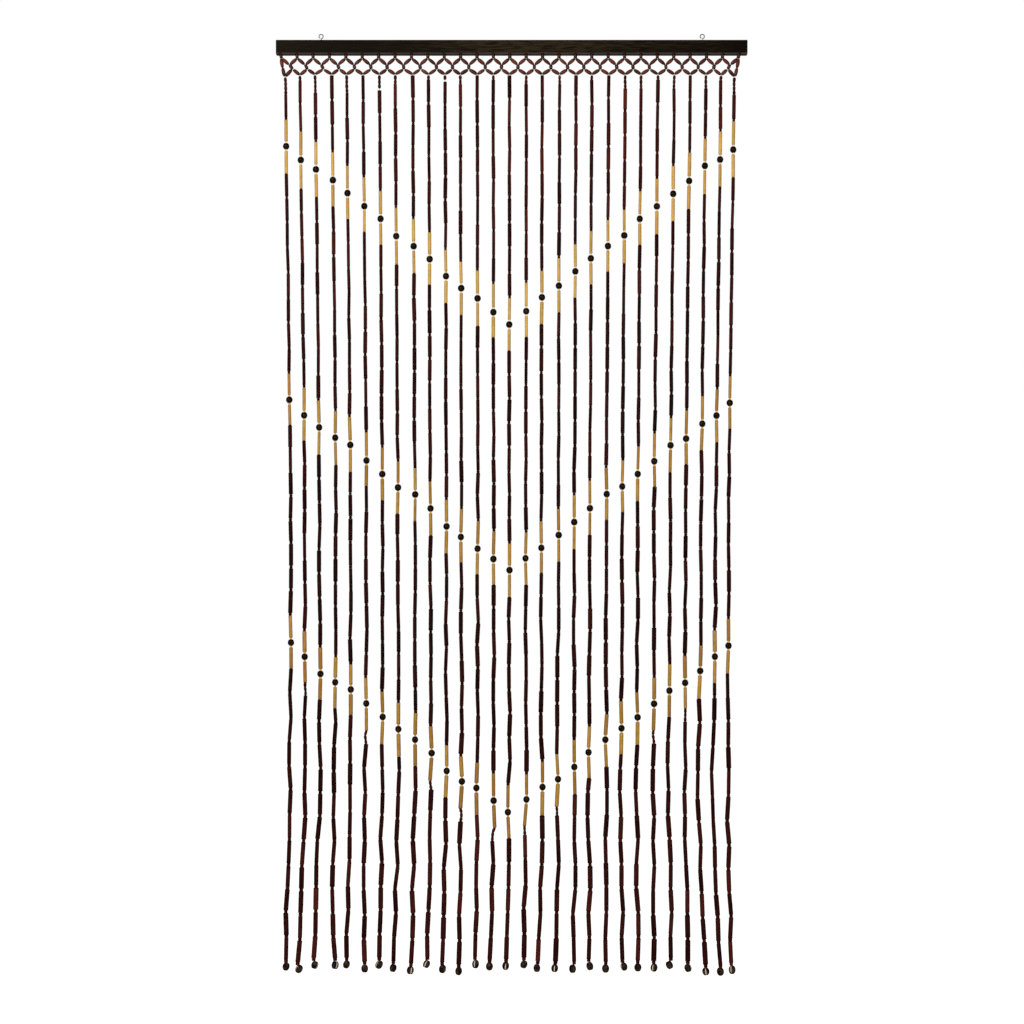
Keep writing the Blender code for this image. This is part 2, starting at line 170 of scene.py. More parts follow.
# Make-up of each strand, from the left edge
STRANDS = (
    # small beads at the head, filler, bands lower by mm, seed lower by mm,
    # head, knee and foot to the right by mm
    (4, NONE, -3, -2, -1.5, -1, 2),
    (1, STACK, 1, 3, 0, 1, -4),
    (4, NONE, 5, -5, 0, 1, -2),
    (0, SHORT, -1, -5, 3, -2, 8),
    (4, NONE, 1, -6, 0, 0, 1),
    (0, STACK, 1, 2, 0, -2, 5),
    (3, NONE, 1, -6, 0, 1, 2),
    (2, SHORT, 1, 1, -1, 2, -2),
    (0, NONE, 0, 5, 1, 1, -1),
    (1, PAIR, 1, -7, 0, 2, 0),
    (1, NONE, 3, 3, 0, 0, -3),
    (2, STACK, 1, 7, -2, 1, 0),
    (0, NONE, 0, -7, -1, 0, -2),
    (1, STACK, 1, -2, -1.5, 2, -4),
    (0, NONE, 0, -3, -2, 1, -3),
    (2, PAIR, -1, -6, -1, 1, -1),
    (0, NONE, -1, 1, -2, 2, -5),
    (2, PAIR, -3, 1, 0, 0, -4),
    (0, NONE, -6, 2, 0, 2, 1),
    (1, SHORT, 0, -3, -1, -1, -1),
    (0, NONE, -1, 2, 0, 1, -1),
    (3, SHORT, -1, -2, 0, -2, 0),
    (3, NONE, 1, 0, -1, -1, -1),
    (1, STACK, 2, 0, 0, -1, -3),
    (3, NONE, 2, -5, 0, -2, -1),
    (0, STACK, 1, 1, -1, 0, 2),
    (3, NONE, -2, 7, 0, -4, 6),
    (1, SHORT, 0, 8, 0, -5, 6),
    (4, NONE, 3, 4, -1, 0, 1),
)
SLACK_STRANDS = (6, 10)

# How the curtain narrows and drifts on its way down
HANG = (
    # drop, narrowing towards the middle as a share of the width, drift to the left
    (0 * MM, 0.0, 0 * MM),
    (220 * MM, 0.0055, 0 * MM),
    (480 * MM, 0.0145, 0 * MM),
    (860 * MM, 0.0245, 0.4 * MM),
    (1240 * MM, 0.0265, 0.9 * MM),
    (1430 * MM, 0.0255, 1.8 * MM),
    (1630 * MM, 0.014, 2.6 * MM),
    (1760 * MM, 0.007, 3.9 * MM),
)

# Where a strand's own knee is, how far it reaches up and down, and how high up its foot's lean begins
KNEE_DROP = 1400 * MM
KNEE_REACH = 330 * MM
LEAN_LENGTH = 115 * MM

# Unevenness of the hand stringing
STRINGING_SEED = 41
ROUND_PLAY = 0.8 * MM
TUBE_PLAY = 0.06
SWAY_TOP = 0.5 * MM
SWAY_FOOT = 3.4 * MM
SWAY_GROWTH = 2.5
DEPTH_SWAY = 0.7

# Unevenness of the beads themselves
LOOKS_SEED = 907
BEAD_GAP = 0.03 * MM
OVALITY = 0.035
NET_PLAY = 0.06

# Sides of the turned beads, the collars, the knots and the cords, and the angle that counts as an edge
BEAD_SIDES = 14
COLLAR_SIDES = 12
KNOT_SIDES = 8
CORD_SIDES = 6
SHARP_ANGLE = math.radians(50)

# How light the stain of a tube is on the way down a strand, and how much it differs between tubes
STAIN_TONES = (
    # share of the strand's length, lightness
    (0.0, 0.44), (0.12, 0.40), (0.21, 0.31), (0.34, 0.23), (0.45, 0.16),
    (0.70, 0.14), (0.78, 0.22), (0.86, 0.42), (1.0, 0.46),
)
STAIN_PLAY = 0.26

# Extra lightness of the few tubes that took less stain, and how few they are
THIN_STAIN = 0.9
THIN_RARITY = 10

# Tints of the beads that stand apart, from 0 for the darkest to 1 for the lightest
STUB_TINTS = (0.3, 0.7)
CROSSING_TINTS = (0.55, 1.0)
SMALL_TINTS = (0.35, 0.85)

# How far the grain and the worn ends of two beads with different tints lie apart in their noise
GRAIN_CHANCE = 61.0
RUB_CHANCE = 37.0

# Natural tubes of the three bands
BANDS = (
    # tone of the lightest tube, how much darker the darkest one is, share of the usual width
    (0.15, 0.42, 1.02),
    (0.62, 0.44, 1.02),
    (0.70, 0.48, 1.20),
)

# Seeds of the strands, from the left edge
AWAY = 180
SEEDS = (
    # slit and foot turned to the left by degrees, seed to the right by mm
    (AWAY, 14, 0), (60, 30, 3), (-55, 15, 2.5), (-32, 10, 0), (AWAY, 14, 0), (AWAY, 0, 0),
    (50, 28, -0.5), (AWAY, 10, 0), (-18, 8, -1), (22, 24, -1.5), (-60, 8, 1.3), (AWAY, 5, 0),
    (20, 0, 1.9), (AWAY, 0, 0), (3, 3, -0.5), (AWAY, 18, 0), (AWAY, -5, -1), (8, 3, -1),
    (AWAY, 0, -3), (AWAY, -12, 1.9), (AWAY, -5, 0), (60, -16, 3), (AWAY, 0, 0.5), (26, 3, 1.2),
    (AWAY, -30, -2.5), (-62, -14, 0), (5, -8, 0), (AWAY, -8, -0.5), (26, 0, 1.3),
)
SEED_TIPS = 0.5 * MM
CORD_IN_SEED = 2 * MM

# Slit in a seed, a share of its length along and millimetres across and deep
SLIT_REACH = 0.42
SLIT_HALF_WIDTH = 1.0
SLIT_DEPTH = 0.9
TINY = 1e-9

# Stage
CAMERA_ASIDE = 0.6 * MM
SENSOR_WIDTH = 36.0
FLOOR_WIDTH = 24
WHITE = (1.0, 1.0, 1.0, 1.0)
FLOOR_COLOUR = (0.70, 0.70, 0.69, 1.0)
CURTAIN_MIDDLE = (0, 0, -0.85)
LIGHTS = (
    # setting, place, what it points at, width, height
    ("key", (-1.7, -3.0, 0.5), CURTAIN_MIDDLE, 1.2, 2.0),
    ("fill", (1.9, -2.9, -0.6), CURTAIN_MIDDLE, 1.4, 2.2),
    ("top", (0, -0.9, 1.3), (0, 0, 0), 1.6, 0.6),
)


def setting(name, description, default, unit="NONE", **limits):
    return FloatProperty(name=name, description=description, default=default, unit=unit, **limits)


def length(name, description, millimetres):
    return setting(name, description, millimetres * MM, "LENGTH", min=0.0, precision=5)


def shade(name, description, *colour):
    return FloatVectorProperty(name=name, description=description, default=colour,
                               size=3, min=0.0, max=1.0, subtype="COLOR")


class BeadSizes(PropertyGroup):
    """Widths of the beads and cords."""
    tube_top: length("Tubes at the top", "Width of the stained tubes just under the heading net", 6.85)
    tube_foot: length("Tubes at the foot", "Width of the stained tubes at the foot of a strand", 9.6)
    natural: length("Natural tubes", "Width of the unstained tubes beside a round bead", 6.2)
    spacer: length("Spacers", "Width of the oval beads between two tubes at the top", 5.6)
    pale: length("Pale spacers", "Width of the pale beads beside a round bead", 4.5)
    small: length("Stacked beads", "Width of the small beads in the stacks", 5.9)
    round_bead: length("Round beads", "Width of the black round beads", 12.7)
    seed: length("Seeds", "Width of the split seeds at the foot", 13.6)
    barrel: length("Barrels", "Width of the barrel beads in the heading net", 7.2)
    crossing: length("Crossing beads", "Width of the beads where two cords cross", 6.9)
    stub: length("Stubs", "Width of the beads that enter the rail", 6.6)
    cord: length("Cord", "Width of the stringing cord", 0.9)
    knot: length("Knots", "Width of the knots in the cord", 2.0)
    bore: length("Bore", "Width of the bore through every bead", 1.9)
    eye_wire: length("Screw eye wire", "Thickness of the wire of a screw eye", 2.0)
    eye_ring: length("Screw eye ring", "Radius of the middle of the wire round the ring", 3.95)


class BeadColours(PropertyGroup):
    """Colours of the stains, woods, cord and metal, with a painted floor reflection on the rail's bevel and
    painted shade in the dark ends of the net's beads.
    """
    stain_dark: shade("Darkest stain", "Stained bamboo where the stain is thickest", 0.0080, 0.0009, 0.0004)
    stain_main: shade("Main stain", "Most of the stained bamboo", 0.037, 0.0052, 0.0028)
    stain_red: shade("Reddest stain", "Stained bamboo where the stain is thinnest", 0.100, 0.015, 0.009)
    natural_light: shade("Light bamboo", "Natural bamboo at its lightest", 0.78, 0.46, 0.098)
    natural_dark: shade("Dark bamboo", "Natural bamboo at its darkest", 0.335, 0.152, 0.016)
    pale_wood: shade("Pale wood", "The pale spacers", 0.98, 0.90, 0.72)
    black: shade("Black lacquer", "The round beads", 0.0042, 0.0024, 0.0014)
    black_worn: shade("Rubbed lacquer", "The round beads where the wood shows through", 0.060, 0.032, 0.017)
    shell: shade("Seed shell", "The outside of the seeds", 0.0070, 0.0040, 0.0026)
    shell_light: shade("Light seed shell", "Streaks on the seeds", 0.070, 0.038, 0.024)
    slit: shade("Seed slit", "The pale inside of a seed", 0.86, 0.74, 0.55)
    # The darkest net colour darkens the ends of the net's beads: partly stain soaking in, partly painted
    # shade round a lighter middle that stands in for a highlight
    net_soak_and_shade: shade("Dark net beads", "Heading beads at their ends", 0.012, 0.0022, 0.0012)
    net_main: shade("Net beads", "Most of the heading beads", 0.045, 0.0066, 0.0034)
    net_light: shade("Light net beads", "Heading beads where the stain is thin", 0.150, 0.029, 0.011)
    cord: shade("Cord", "The stringing cord", 0.70, 0.60, 0.44)
    net_cord: shade("Stub cord", "The stained collar and cord inside the rail", 0.022, 0.006, 0.003)
    rail_dark: shade("Rail stain", "The rail where the stain is thick", 0.0030, 0.0018, 0.0009)
    rail_light: shade("Rail grain", "The rail where the grain shows through", 0.028, 0.0185, 0.0090)
    rail_worn: shade("Rail edges", "The rubbed arrises of the rail", 0.075, 0.028, 0.016)
    # The colour of the rail's bevel and underside is a painted reflection of the bright floor, not a thinner
    # stain
    rail_bevel_reflection: shade("Rail bevel", "The thinly stained bevel and underside of the rail", 0.078, 0.060, 0.050)
    metal: shade("Screw eye", "Plated wire of the screw eyes", 0.30, 0.29, 0.20)
    metal_dull: shade("Dull plating", "Plated wire where it has dulled", 0.12, 0.11, 0.07)


class StageSettings(PropertyGroup):
    """Camera, lights and floor."""
    distance: setting("Camera distance", "From the camera to the rail's front face", 5.9, "LENGTH", min=0.1)
    height: setting("Camera height", "Height of the camera above the frame's origin", -0.8901, "LENGTH")
    view_angle: setting("View angle", "Angle across the picture", math.radians(18.861), "ROTATION")
    floor: setting("Floor height", "Height of the floor", -2.02, "LENGTH")
    key: setting("Key light", "Power of the large light at the front left", 90.0, "POWER", min=0.0)
    fill: setting("Fill light", "Power of the light at the front right", 40.0, "POWER", min=0.0)
    top: setting("Top light", "Power of the light above the rail", 3.0, "POWER", min=0.0)
    surround: setting("Surround", "Brightness of the room as the beads reflect it", 0.07, min=0.0)


# Bead forms, turned about the bore, and the share of a half turn from a ball's pole to its bore's edge

BORE_START = (0, 0, 0.0)
BORE_END = (1, 0, 0.0)
BORE_EDGE = 0.16

TUBE = (
    # share of the length, mm from there, share of the width
    BORE_START, (0, 0, 0.86), (0, 0.22, 0.95), (0, 0.8, 1.0), (0.22, 0, 0.985), (0.5, 0, 1.0),
    (0.8, 0, 0.985), (1, -0.8, 1.0), (1, -0.22, 0.95), (1, 0, 0.86), BORE_END,
)


def oval_form(neck, rows, fullness=0.75):
    """Oval bead whose ends are a share of its width."""
    middle = []
    for row in range(rows):
        share = row / (rows - 1)
        middle.append((share, 0, neck + (1 - neck) * math.sin(math.pi * share) ** fullness))
    return (BORE_START, *middle, BORE_END)


def ball_form(rows, point=1.0):
    """Ball or egg with its bore along the axis."""
    first = BORE_EDGE * math.pi
    middle = []
    for row in range(rows):
        turn = first + (math.pi - 2 * first) * row / (rows - 1)
        middle.append(((1 - math.cos(turn) / math.cos(first)) / 2, 0, math.sin(turn) ** point))
    return (BORE_START, *middle, BORE_END)


OVAL = oval_form(0.88, 7)
SMALL = oval_form(0.72, 8)
BARREL = oval_form(0.56, 10, 0.7)
BALL = ball_form(13)
SEED = ball_form(19, 0.9)
KNOT = ball_form(5)

# Beads of the strands
BEADS = {
    # kind: form, material, share by which the widths differ, sides
    "tube": (TUBE, "stained_bamboo", 0.13, BEAD_SIDES),
    "short": (TUBE, "stained_bamboo", 0.13, BEAD_SIDES),
    "natural": (TUBE, "natural_bamboo", 0.12, BEAD_SIDES),
    "spacer": (OVAL, "stained_bamboo", 0.08, 12),
    "joint": (OVAL, "stained_bamboo", 0.08, 12),
    "pale": (OVAL, "pale_wood", 0.08, 12),
    "small": (SMALL, "stained_bamboo", 0.08, BEAD_SIDES),
    "round": (BALL, "black_lacquer", 0.03, 20),
    "seed": (SEED, "seed_shell", 0.04, 32),
}


class BeadMesh:
    """One mesh, grown bead by bead, with the values that the materials read.

    bead_grain is the place in the bead's own space in mm, with Z along its bore. bead_tint is one number
    from 0 to 1 for the whole bead. bead_end is the distance to the bead's nearer end in mm.
    """

    def __init__(self, *materials):
        self.materials = materials
        self.points, self.grain, self.tints, self.ends = [], [], [], []
        self.faces, self.slots = [], []
        self.count = 0

    def skin(self, rings, local, span, material, tint, bored):
        """Skin over rings of points. The last ring joins the first in a bored bead, and is closed if not."""
        ring_count, sides = rings.shape[:2]
        numbers = self.count + np.arange(ring_count * sides).reshape(ring_count, sides)
        here = numbers if bored else numbers[:-1]
        there = np.roll(numbers, -1, axis=0) if bored else numbers[1:]
        quads = np.stack([here, np.roll(here, -1, axis=1), np.roll(there, -1, axis=1), there], axis=-1)
        faces = quads.reshape(-1, 4).tolist()
        if not bored:
            faces += [numbers[0][::-1].tolist(), numbers[-1].tolist()]
        self.faces += faces
        self.slots += [self.materials.index(material)] * len(faces)
        self.points.append(rings.reshape(-1, 3))
        local = local.reshape(-1, 3)
        self.grain.append(local / MM)
        self.tints.append(np.full(len(local), tint))
        self.ends.append(np.minimum(local[:, 2], span - local[:, 2]) / MM)
        self.count += len(local)

    def add_bead(self, form, start, end, width, material, tint, sides, bore, turn=0.0, oval=0.0,
                 carve=None):
        """Bead of a turned form from start to end, which carve may cut into."""
        span = (end - start).length
        share, inset, swell = np.array(form, float).T
        radius = np.maximum(swell * width, bore) / 2
        along = share * span + inset * MM
        angles = np.arange(sides) * 2 * math.pi / sides
        local = np.empty((len(form), sides, 3))
        local[:, :, 0] = radius[:, None] * np.cos(angles) * (1 + oval)
        local[:, :, 1] = radius[:, None] * np.sin(angles) * (1 - oval)
        local[:, :, 2] = along[:, None]
        if carve:
            local = carve(local, span)
        self.skin(np.array(start) + local @ bead_axes(end - start, turn), local, span, material, tint, True)

    def add_cord(self, path, width, material, tint=0.5, sides=CORD_SIDES):
        """Round cord or wire along a path that keeps to the curtain's plane."""
        path = np.array(path, float)
        steps = np.linalg.norm(np.diff(path, axis=0), axis=1)
        along = np.concatenate([[0.0], np.cumsum(steps)])
        angles = np.arange(sides) * 2 * math.pi / sides
        ring = np.stack([np.cos(angles), np.sin(angles), np.zeros(sides)], axis=1) * width / 2
        rings = []
        for index, point in enumerate(path):
            before = path[max(index - 1, 0)]
            after = path[min(index + 1, len(path) - 1)]
            rings.append(point + ring @ bead_axes(Vector(after - before)))
        local = np.repeat(ring[None], len(path), axis=0)
        local[:, :, 2] = along[:, None]
        self.skin(np.array(rings), local, along[-1], material, tint, False)

    def make(self, name):
        mesh = bpy.data.meshes.new(name)
        mesh.from_pydata(np.concatenate(self.points), [], self.faces)
        for material in self.materials:
            mesh.materials.append(bpy.data.materials[material])
        mesh.polygons.foreach_set("material_index", self.slots)
        for label, values in (("bead_tint", self.tints), ("bead_end", self.ends)):
            layer = mesh.attributes.new(label, "FLOAT", "POINT")
            layer.data.foreach_set("value", np.concatenate(values))
        grain = mesh.attributes.new("bead_grain", "FLOAT_VECTOR", "POINT")
        grain.data.foreach_set("vector", np.concatenate(self.grain).ravel())
        mesh.shade_smooth()
        mesh.set_sharp_from_angle(angle=SHARP_ANGLE)
        piece = bpy.data.objects.new(name, mesh)
        bpy.context.scene.collection.objects.link(piece)
        return piece


def bead_axes(along, turn=0.0):
    """Rows of the side, front and bore directions of a bead that lies along a direction."""
    along = along.normalized()
    side = Vector((0, 1, 0)).cross(along).normalized()
    front = along.cross(side)
    turned = side * math.cos(turn) + front * math.sin(turn)
    return np.array([turned, along.cross(turned), along])


def carve_slit(local, span):
    """Presses the slit into the front of a seed."""
    x, y, z = np.moveaxis(local, -1, 0)
    reach = 1 - ((z / span - 0.5) / SLIT_REACH) ** 2
    half_width = SLIT_HALF_WIDTH * MM * np.sqrt(np.maximum(reach, 0.0)) + TINY
    inside = np.maximum(1 - (x / half_width) ** 2, 0.0) * (y < 0)
    shrink = 1 - inside * SLIT_DEPTH * MM / np.hypot(x, y)
    return np.stack([x * shrink, y * shrink, z], axis=-1)


# Lines of the stringing

def steps_from_edge(number):
    return min(number, STRAND_COUNT - 1 - number)


def inward(number, amounts):
    """Shift towards the middle for a strand near either edge, positive along +X."""
    steps = steps_from_edge(number)
    if steps >= len(amounts):
        return 0.0
    return math.copysign(amounts[steps], MIDDLE_STRAND - number)


def hole_x(number):
    return HOLE_ROW_SHIFT + (number - MIDDLE_STRAND) * HOLE_PITCH


def strand_x(number):
    head = STRANDS[number][4] * MM
    return hole_x(number) + NET_DRIFT + inward(number, EDGE_PULL) + head


def edge_sag(number):
    return abs(inward(number, EDGE_SAG))


def hang_at(drop):
    """Narrowing and drift at a drop, read from the table between its rows."""
    drops, narrowings, drifts = zip(*HANG)
    return np.interp(drop, drops, narrowings), np.interp(drop, drops, drifts)


def fill_section(kinds, top, bottom, luck):
    """Beads as (kind, top, bottom), with the tubes sharing the room that the small beads leave."""
    weights = [1 + luck.uniform(-TUBE_PLAY, TUBE_PLAY) if kind not in BEAD_LENGTHS else 0 for kind in kinds]
    room = bottom - top - sum(BEAD_LENGTHS.get(kind, 0) for kind in kinds)
    beads = []
    for kind, weight in zip(kinds, weights):
        span = BEAD_LENGTHS.get(kind, room * weight / sum(weights))
        beads.append((kind, top, top + span))
        top += span
    return beads


def string_beads(number):
    """Beads of one strand from the net down, each as (kind, top, bottom)."""
    luck = random.Random(STRINGING_SEED + number)
    small_beads, filler, lower_bands, lower_seed = STRANDS[number][:4]
    rows = BLACK_BEAD_DROPS[steps_from_edge(number)]
    blacks = [(drop + lower_bands) * MM + luck.uniform(-ROUND_PLAY, ROUND_PLAY) for drop in rows]
    seed_top = SEED_DROP + lower_seed * MM - SEED_LENGTH / 2
    head = ["small"] * small_beads + ["slack"] * (number in SLACK_STRANDS)
    above = ["natural", "pale"]
    below = ["pale", "natural", "joint"]
    ends = ((head, above), (below, above), (below, above), (below + list(filler), []))
    beads = []
    top = STRAND_TOP + edge_sag(number)
    for (first, last), black in zip(ends, blacks + [seed_top + ROUND_DIAMETER / 2]):
        bottom = black - ROUND_DIAMETER / 2
        room = bottom - top - sum(BEAD_LENGTHS.get(kind, TUBE_LENGTH) for kind in first + last)
        tubes = round(room / (TUBE_LENGTH + BEAD_LENGTHS["spacer"]))
        beads += fill_section(first + ["tube", "spacer"] * tubes + last, top, bottom, luck)
        top = bottom + ROUND_DIAMETER
        beads.append(("round", bottom, top))
    beads[-1] = ("seed", seed_top, seed_top + SEED_LENGTH)
    return beads


def hang_corners(number, beads):
    """Corners of a strand's line as (drop, x, y), one at each joint between two tubes."""
    luck = random.Random(STRINGING_SEED + STRAND_COUNT + number)
    start = strand_x(number)
    knee, foot = (amount * MM for amount in STRANDS[number][5:])
    corners = [(beads[0][1], start, NET_Y)]
    for kind, top, bottom in beads:
        if kind in TUBE_KINDS or kind == "pale":
            continue
        drop = (top + bottom) / 2
        narrowing, drift = hang_at(drop)
        near_knee = max(0.0, 1 - abs(drop - KNEE_DROP) / KNEE_REACH)
        near_foot = min(1.0, max(0.0, 1 - (SEED_DROP - drop) / LEAN_LENGTH))
        sway = SWAY_TOP + (SWAY_FOOT - SWAY_TOP) * (drop / SEED_DROP) ** SWAY_GROWTH
        x = start * (1 - narrowing) - drift + knee * near_knee + foot * near_foot
        x += luck.uniform(-sway, sway) * (1 - near_foot)
        y = NET_Y + DEPTH_SWAY * luck.uniform(-sway, sway)
        corners.append((drop, x, y))
    return corners


def point_at(corners, drop):
    """Point of a strand's line at a drop."""
    for (low, x_low, y_low), (high, x_high, y_high) in zip(corners, corners[1:]):
        if drop <= high:
            break
    share = (drop - low) / (high - low)
    return Vector((x_low + share * (x_high - x_low), y_low + share * (y_high - y_low), UNDERSIDE - drop))


def net_point(x, drop):
    return Vector((x, NET_Y, UNDERSIDE - drop))


def net_knots():
    """Ends of the stubs, splits, tops and bottoms of the crossings, and apexes of the heading net."""
    numbers = range(STRAND_COUNT)
    lean_back = STUB_DEPTH / (2 * SPLIT_DROP + STUB_DEPTH)
    ends = [net_point(hole_x(n) - inward(n, EDGE_LEAN) * lean_back, -STUB_DEPTH) for n in numbers]
    splits = [net_point(hole_x(n) + inward(n, EDGE_LEAN), SPLIT_DROP) for n in numbers]
    apexes = [net_point(strand_x(n), APEX_DROP + edge_sag(n)) for n in numbers]
    tops, bottoms = [], []
    for n in range(STRAND_COUNT - 1):
        tops.append(net_point((splits[n].x + splits[n + 1].x) / 2, CROSSING_TOP))
        bottoms.append(net_point((apexes[n].x + apexes[n + 1].x) / 2, CROSSING_BOTTOM))
    return ends, splits, tops, bottoms, apexes


def tilted(start, end, tilt, aside):
    """Ends of a seed whose foot turns to the left by an angle and which sits to the right by a distance."""
    half = (end - start) / 2
    middle = (start + end) / 2 + Vector((aside, 0, 0))
    lean = Vector((-math.sin(tilt), 0, 0)) * half.length
    reach = (half + lean).normalized() * (half.length - SEED_TIPS)
    return middle - reach, middle + reach


# Shader nodes

GRAIN_INPUTS = {"Fibre Width": 0.5, "Fibre Stretch": 24.0, "Patch Width": 7.0, "Patch Stretch": 3.0}


def add_node(tree, kind, sockets=None, **settings):
    """New node with its settings, and its sockets set to values or linked to outputs."""
    node = tree.nodes.new("ShaderNode" + kind)
    for name, value in settings.items():
        setattr(node, name, value)
    for name, value in (sockets or {}).items():
        if isinstance(value, bpy.types.NodeSocket):
            tree.links.new(value, node.inputs[name])
        else:
            node.inputs[name].default_value = value
    return node


def mix_colours(tree, share, first, second):
    first, second = (value if isinstance(value, bpy.types.NodeSocket) else (*value, 1.0)
                     for value in (first, second))
    return add_node(tree, "Mix", {0: share, 6: first, 7: second}, data_type="RGBA").outputs[2]


def compute(tree, operation, first, second=0.0):
    return add_node(tree, "Math", {0: first, 1: second}, operation=operation).outputs[0]


def times(tree, first, second):
    return compute(tree, "MULTIPLY", first, second)


def distance(tree, first, second):
    return compute(tree, "ABSOLUTE", compute(tree, "SUBTRACT", first, second))


def drawn(tree, place, factors):
    """Place with its three directions multiplied, which draws a pattern out along the smallest factor."""
    return add_node(tree, "VectorMath", {0: place, 1: factors}, operation="MULTIPLY").outputs[0]


def noise(tree, place, scale, detail, **sockets):
    return add_node(tree, "TexNoise", {
        "Vector": place, "Scale": scale, "Detail": detail, **sockets,
    }).outputs[0]


def directions(tree, place):
    return add_node(tree, "SeparateXYZ", {"Vector": place}).outputs


def squares(tree, first, second):
    return compute(tree, "ADD", times(tree, first, first), times(tree, second, second))


def remap(tree, value, low, high, to_low=0.0, to_high=1.0):
    """Smooth change of a value from one range to another."""
    node = add_node(tree, "MapRange", {
        "Value": value, "From Min": low, "From Max": high, "To Min": to_low, "To Max": to_high,
    }, interpolation_type="SMOOTHSTEP")
    return node.outputs["Result"]


def ramp(tree, value, *stops):
    """Colour from a value by stops of (position, colour)."""
    node = add_node(tree, "ValToRGB", {"Fac": value})
    elements = node.color_ramp.elements
    while len(elements) < len(stops):
        elements.new(1.0)
    for element, (position, colour) in zip(elements, stops):
        element.position = position
        element.color = (*colour, 1.0)
    return node.outputs["Color"]


def attribute(tree, name, output="Fac"):
    return add_node(tree, "Attribute", attribute_name=name).outputs[output]


def new_group(name, inputs, outputs):
    """Empty node group with its named sockets, and its two end nodes."""
    tree = bpy.data.node_groups.new(name, "ShaderNodeTree")
    for label, default in inputs.items():
        socket = tree.interface.new_socket(name=label, in_out="INPUT", socket_type="NodeSocketFloat")
        socket.default_value = default
    for label in outputs:
        tree.interface.new_socket(name=label, in_out="OUTPUT", socket_type="NodeSocketFloat")
    return tree, tree.nodes.new("NodeGroupInput"), tree.nodes.new("NodeGroupOutput")


def stretched_noise(tree, place, chance, width, stretch, detail=3.0):
    """Noise with grains of a width in mm, drawn out along the bore."""
    factors = add_node(tree, "CombineXYZ", {"X": 1.0, "Y": 1.0, "Z": compute(tree, "DIVIDE", 1.0, stretch)})
    return add_node(tree, "TexNoise", {
        "Vector": drawn(tree, place, factors.outputs[0]), "W": chance,
        "Scale": compute(tree, "DIVIDE", 1.0, width), "Detail": detail,
    }, noise_dimensions="4D").outputs[0]


def make_grain_group():
    """Fibres along a bead and patches of thicker and thinner stain, other ones on each bead."""
    tree, given, made = new_group("Bead grain", GRAIN_INPUTS, ("Fibre", "Patches"))
    place = attribute(tree, "bead_grain", "Vector")
    chance = times(tree, attribute(tree, "bead_tint"), GRAIN_CHANCE)
    fibre_width, fibre_stretch, patch_width, patch_stretch = (given.outputs[name] for name in GRAIN_INPUTS)
    fibre = stretched_noise(tree, place, chance, fibre_width, fibre_stretch)
    patches = stretched_noise(tree, place, chance, patch_width, patch_stretch, detail=1.0)
    tree.links.new(remap(tree, fibre, 0.3, 0.7), made.inputs["Fibre"])
    tree.links.new(remap(tree, patches, 0.3, 0.7), made.inputs["Patches"])


def make_rub_group():
    """Mask of the ends of a bead, with a ragged border: worn ends, ends where the stain soaks in, and on the
    net's beads also painted shade.
    """
    tree, given, made = new_group("Bead ends", {"Reach": 2.0, "Raggedness": 1.5}, ("Ends",))
    place = attribute(tree, "bead_grain", "Vector")
    chance = times(tree, attribute(tree, "bead_tint"), RUB_CHANCE)
    waves = compute(tree, "SUBTRACT", stretched_noise(tree, place, chance, 1.1, 2.0), 0.5)
    ragged = times(tree, waves, given.outputs["Raggedness"])
    from_end = compute(tree, "ADD", attribute(tree, "bead_end"), ragged)
    share = compute(tree, "DIVIDE", from_end, given.outputs["Reach"])
    tree.links.new(remap(tree, share, 0.0, 1.0, 1.0, 0.0), made.inputs["Ends"])


def start_material(name):
    material = bpy.data.materials.new(name)
    material.use_nodes = True
    return material.node_tree


def finish(tree, colour, roughness, depth, height, constants):
    """Links colour, roughness and a relief of a depth in mm to the shader, and sets its constants."""
    shader = tree.nodes["Principled BSDF"]
    for label, value in constants.items():
        shader.inputs[label].default_value = value
    relief = add_node(tree, "Bump", {"Strength": 0.6, "Distance": depth * MM, "Height": height})
    tree.links.new(colour, shader.inputs["Base Color"])
    tree.links.new(roughness, shader.inputs["Roughness"])
    tree.links.new(relief.outputs["Normal"], shader.inputs["Normal"])


def grain_of(tree, *measures):
    """Fibre and patches from widths in mm and stretches, in the order of the grain group's inputs."""
    node = add_node(tree, "Group", dict(zip(GRAIN_INPUTS, measures)),
                    node_tree=bpy.data.node_groups["Bead grain"])
    return node.outputs["Fibre"], node.outputs["Patches"]


def ends_of(tree, reach, raggedness):
    node = add_node(tree, "Group", {"Reach": reach, "Raggedness": raggedness},
                    node_tree=bpy.data.node_groups["Bead ends"])
    return node.outputs["Ends"]


def weigh(tree, *terms):
    """Sum of values, each times its weight."""
    total = 0.0
    for value, weight in terms:
        total = compute(tree, "ADD", times(tree, value, weight), total)
    return total


def make_wood(name, grain, tone, stops, ends, roughness, depth, constants):
    """Wood of a kind of bead.

    grain holds widths and stretches of fibre and patches, and tone the weights of the bead's tint, its
    patches and its fibre. ends holds the reach, raggedness, strength and colour of the darkened ends, where
    stain soaks in; on the net's beads these dark ends are also painted shade.
    """
    tree = start_material(name)
    fibre, patches = grain_of(tree, *grain)
    sources = (attribute(tree, "bead_tint"), patches, fibre)
    colour = ramp(tree, weigh(tree, *zip(sources, tone)), *stops)
    if ends:
        reach, raggedness, strength, soak_and_shade_colour = ends
        colour = mix_colours(tree, times(tree, ends_of(tree, reach, raggedness), strength), colour, soak_and_shade_colour)
    finish(tree, colour, remap(tree, fibre, 0.0, 1.0, *roughness), depth, fibre, constants)


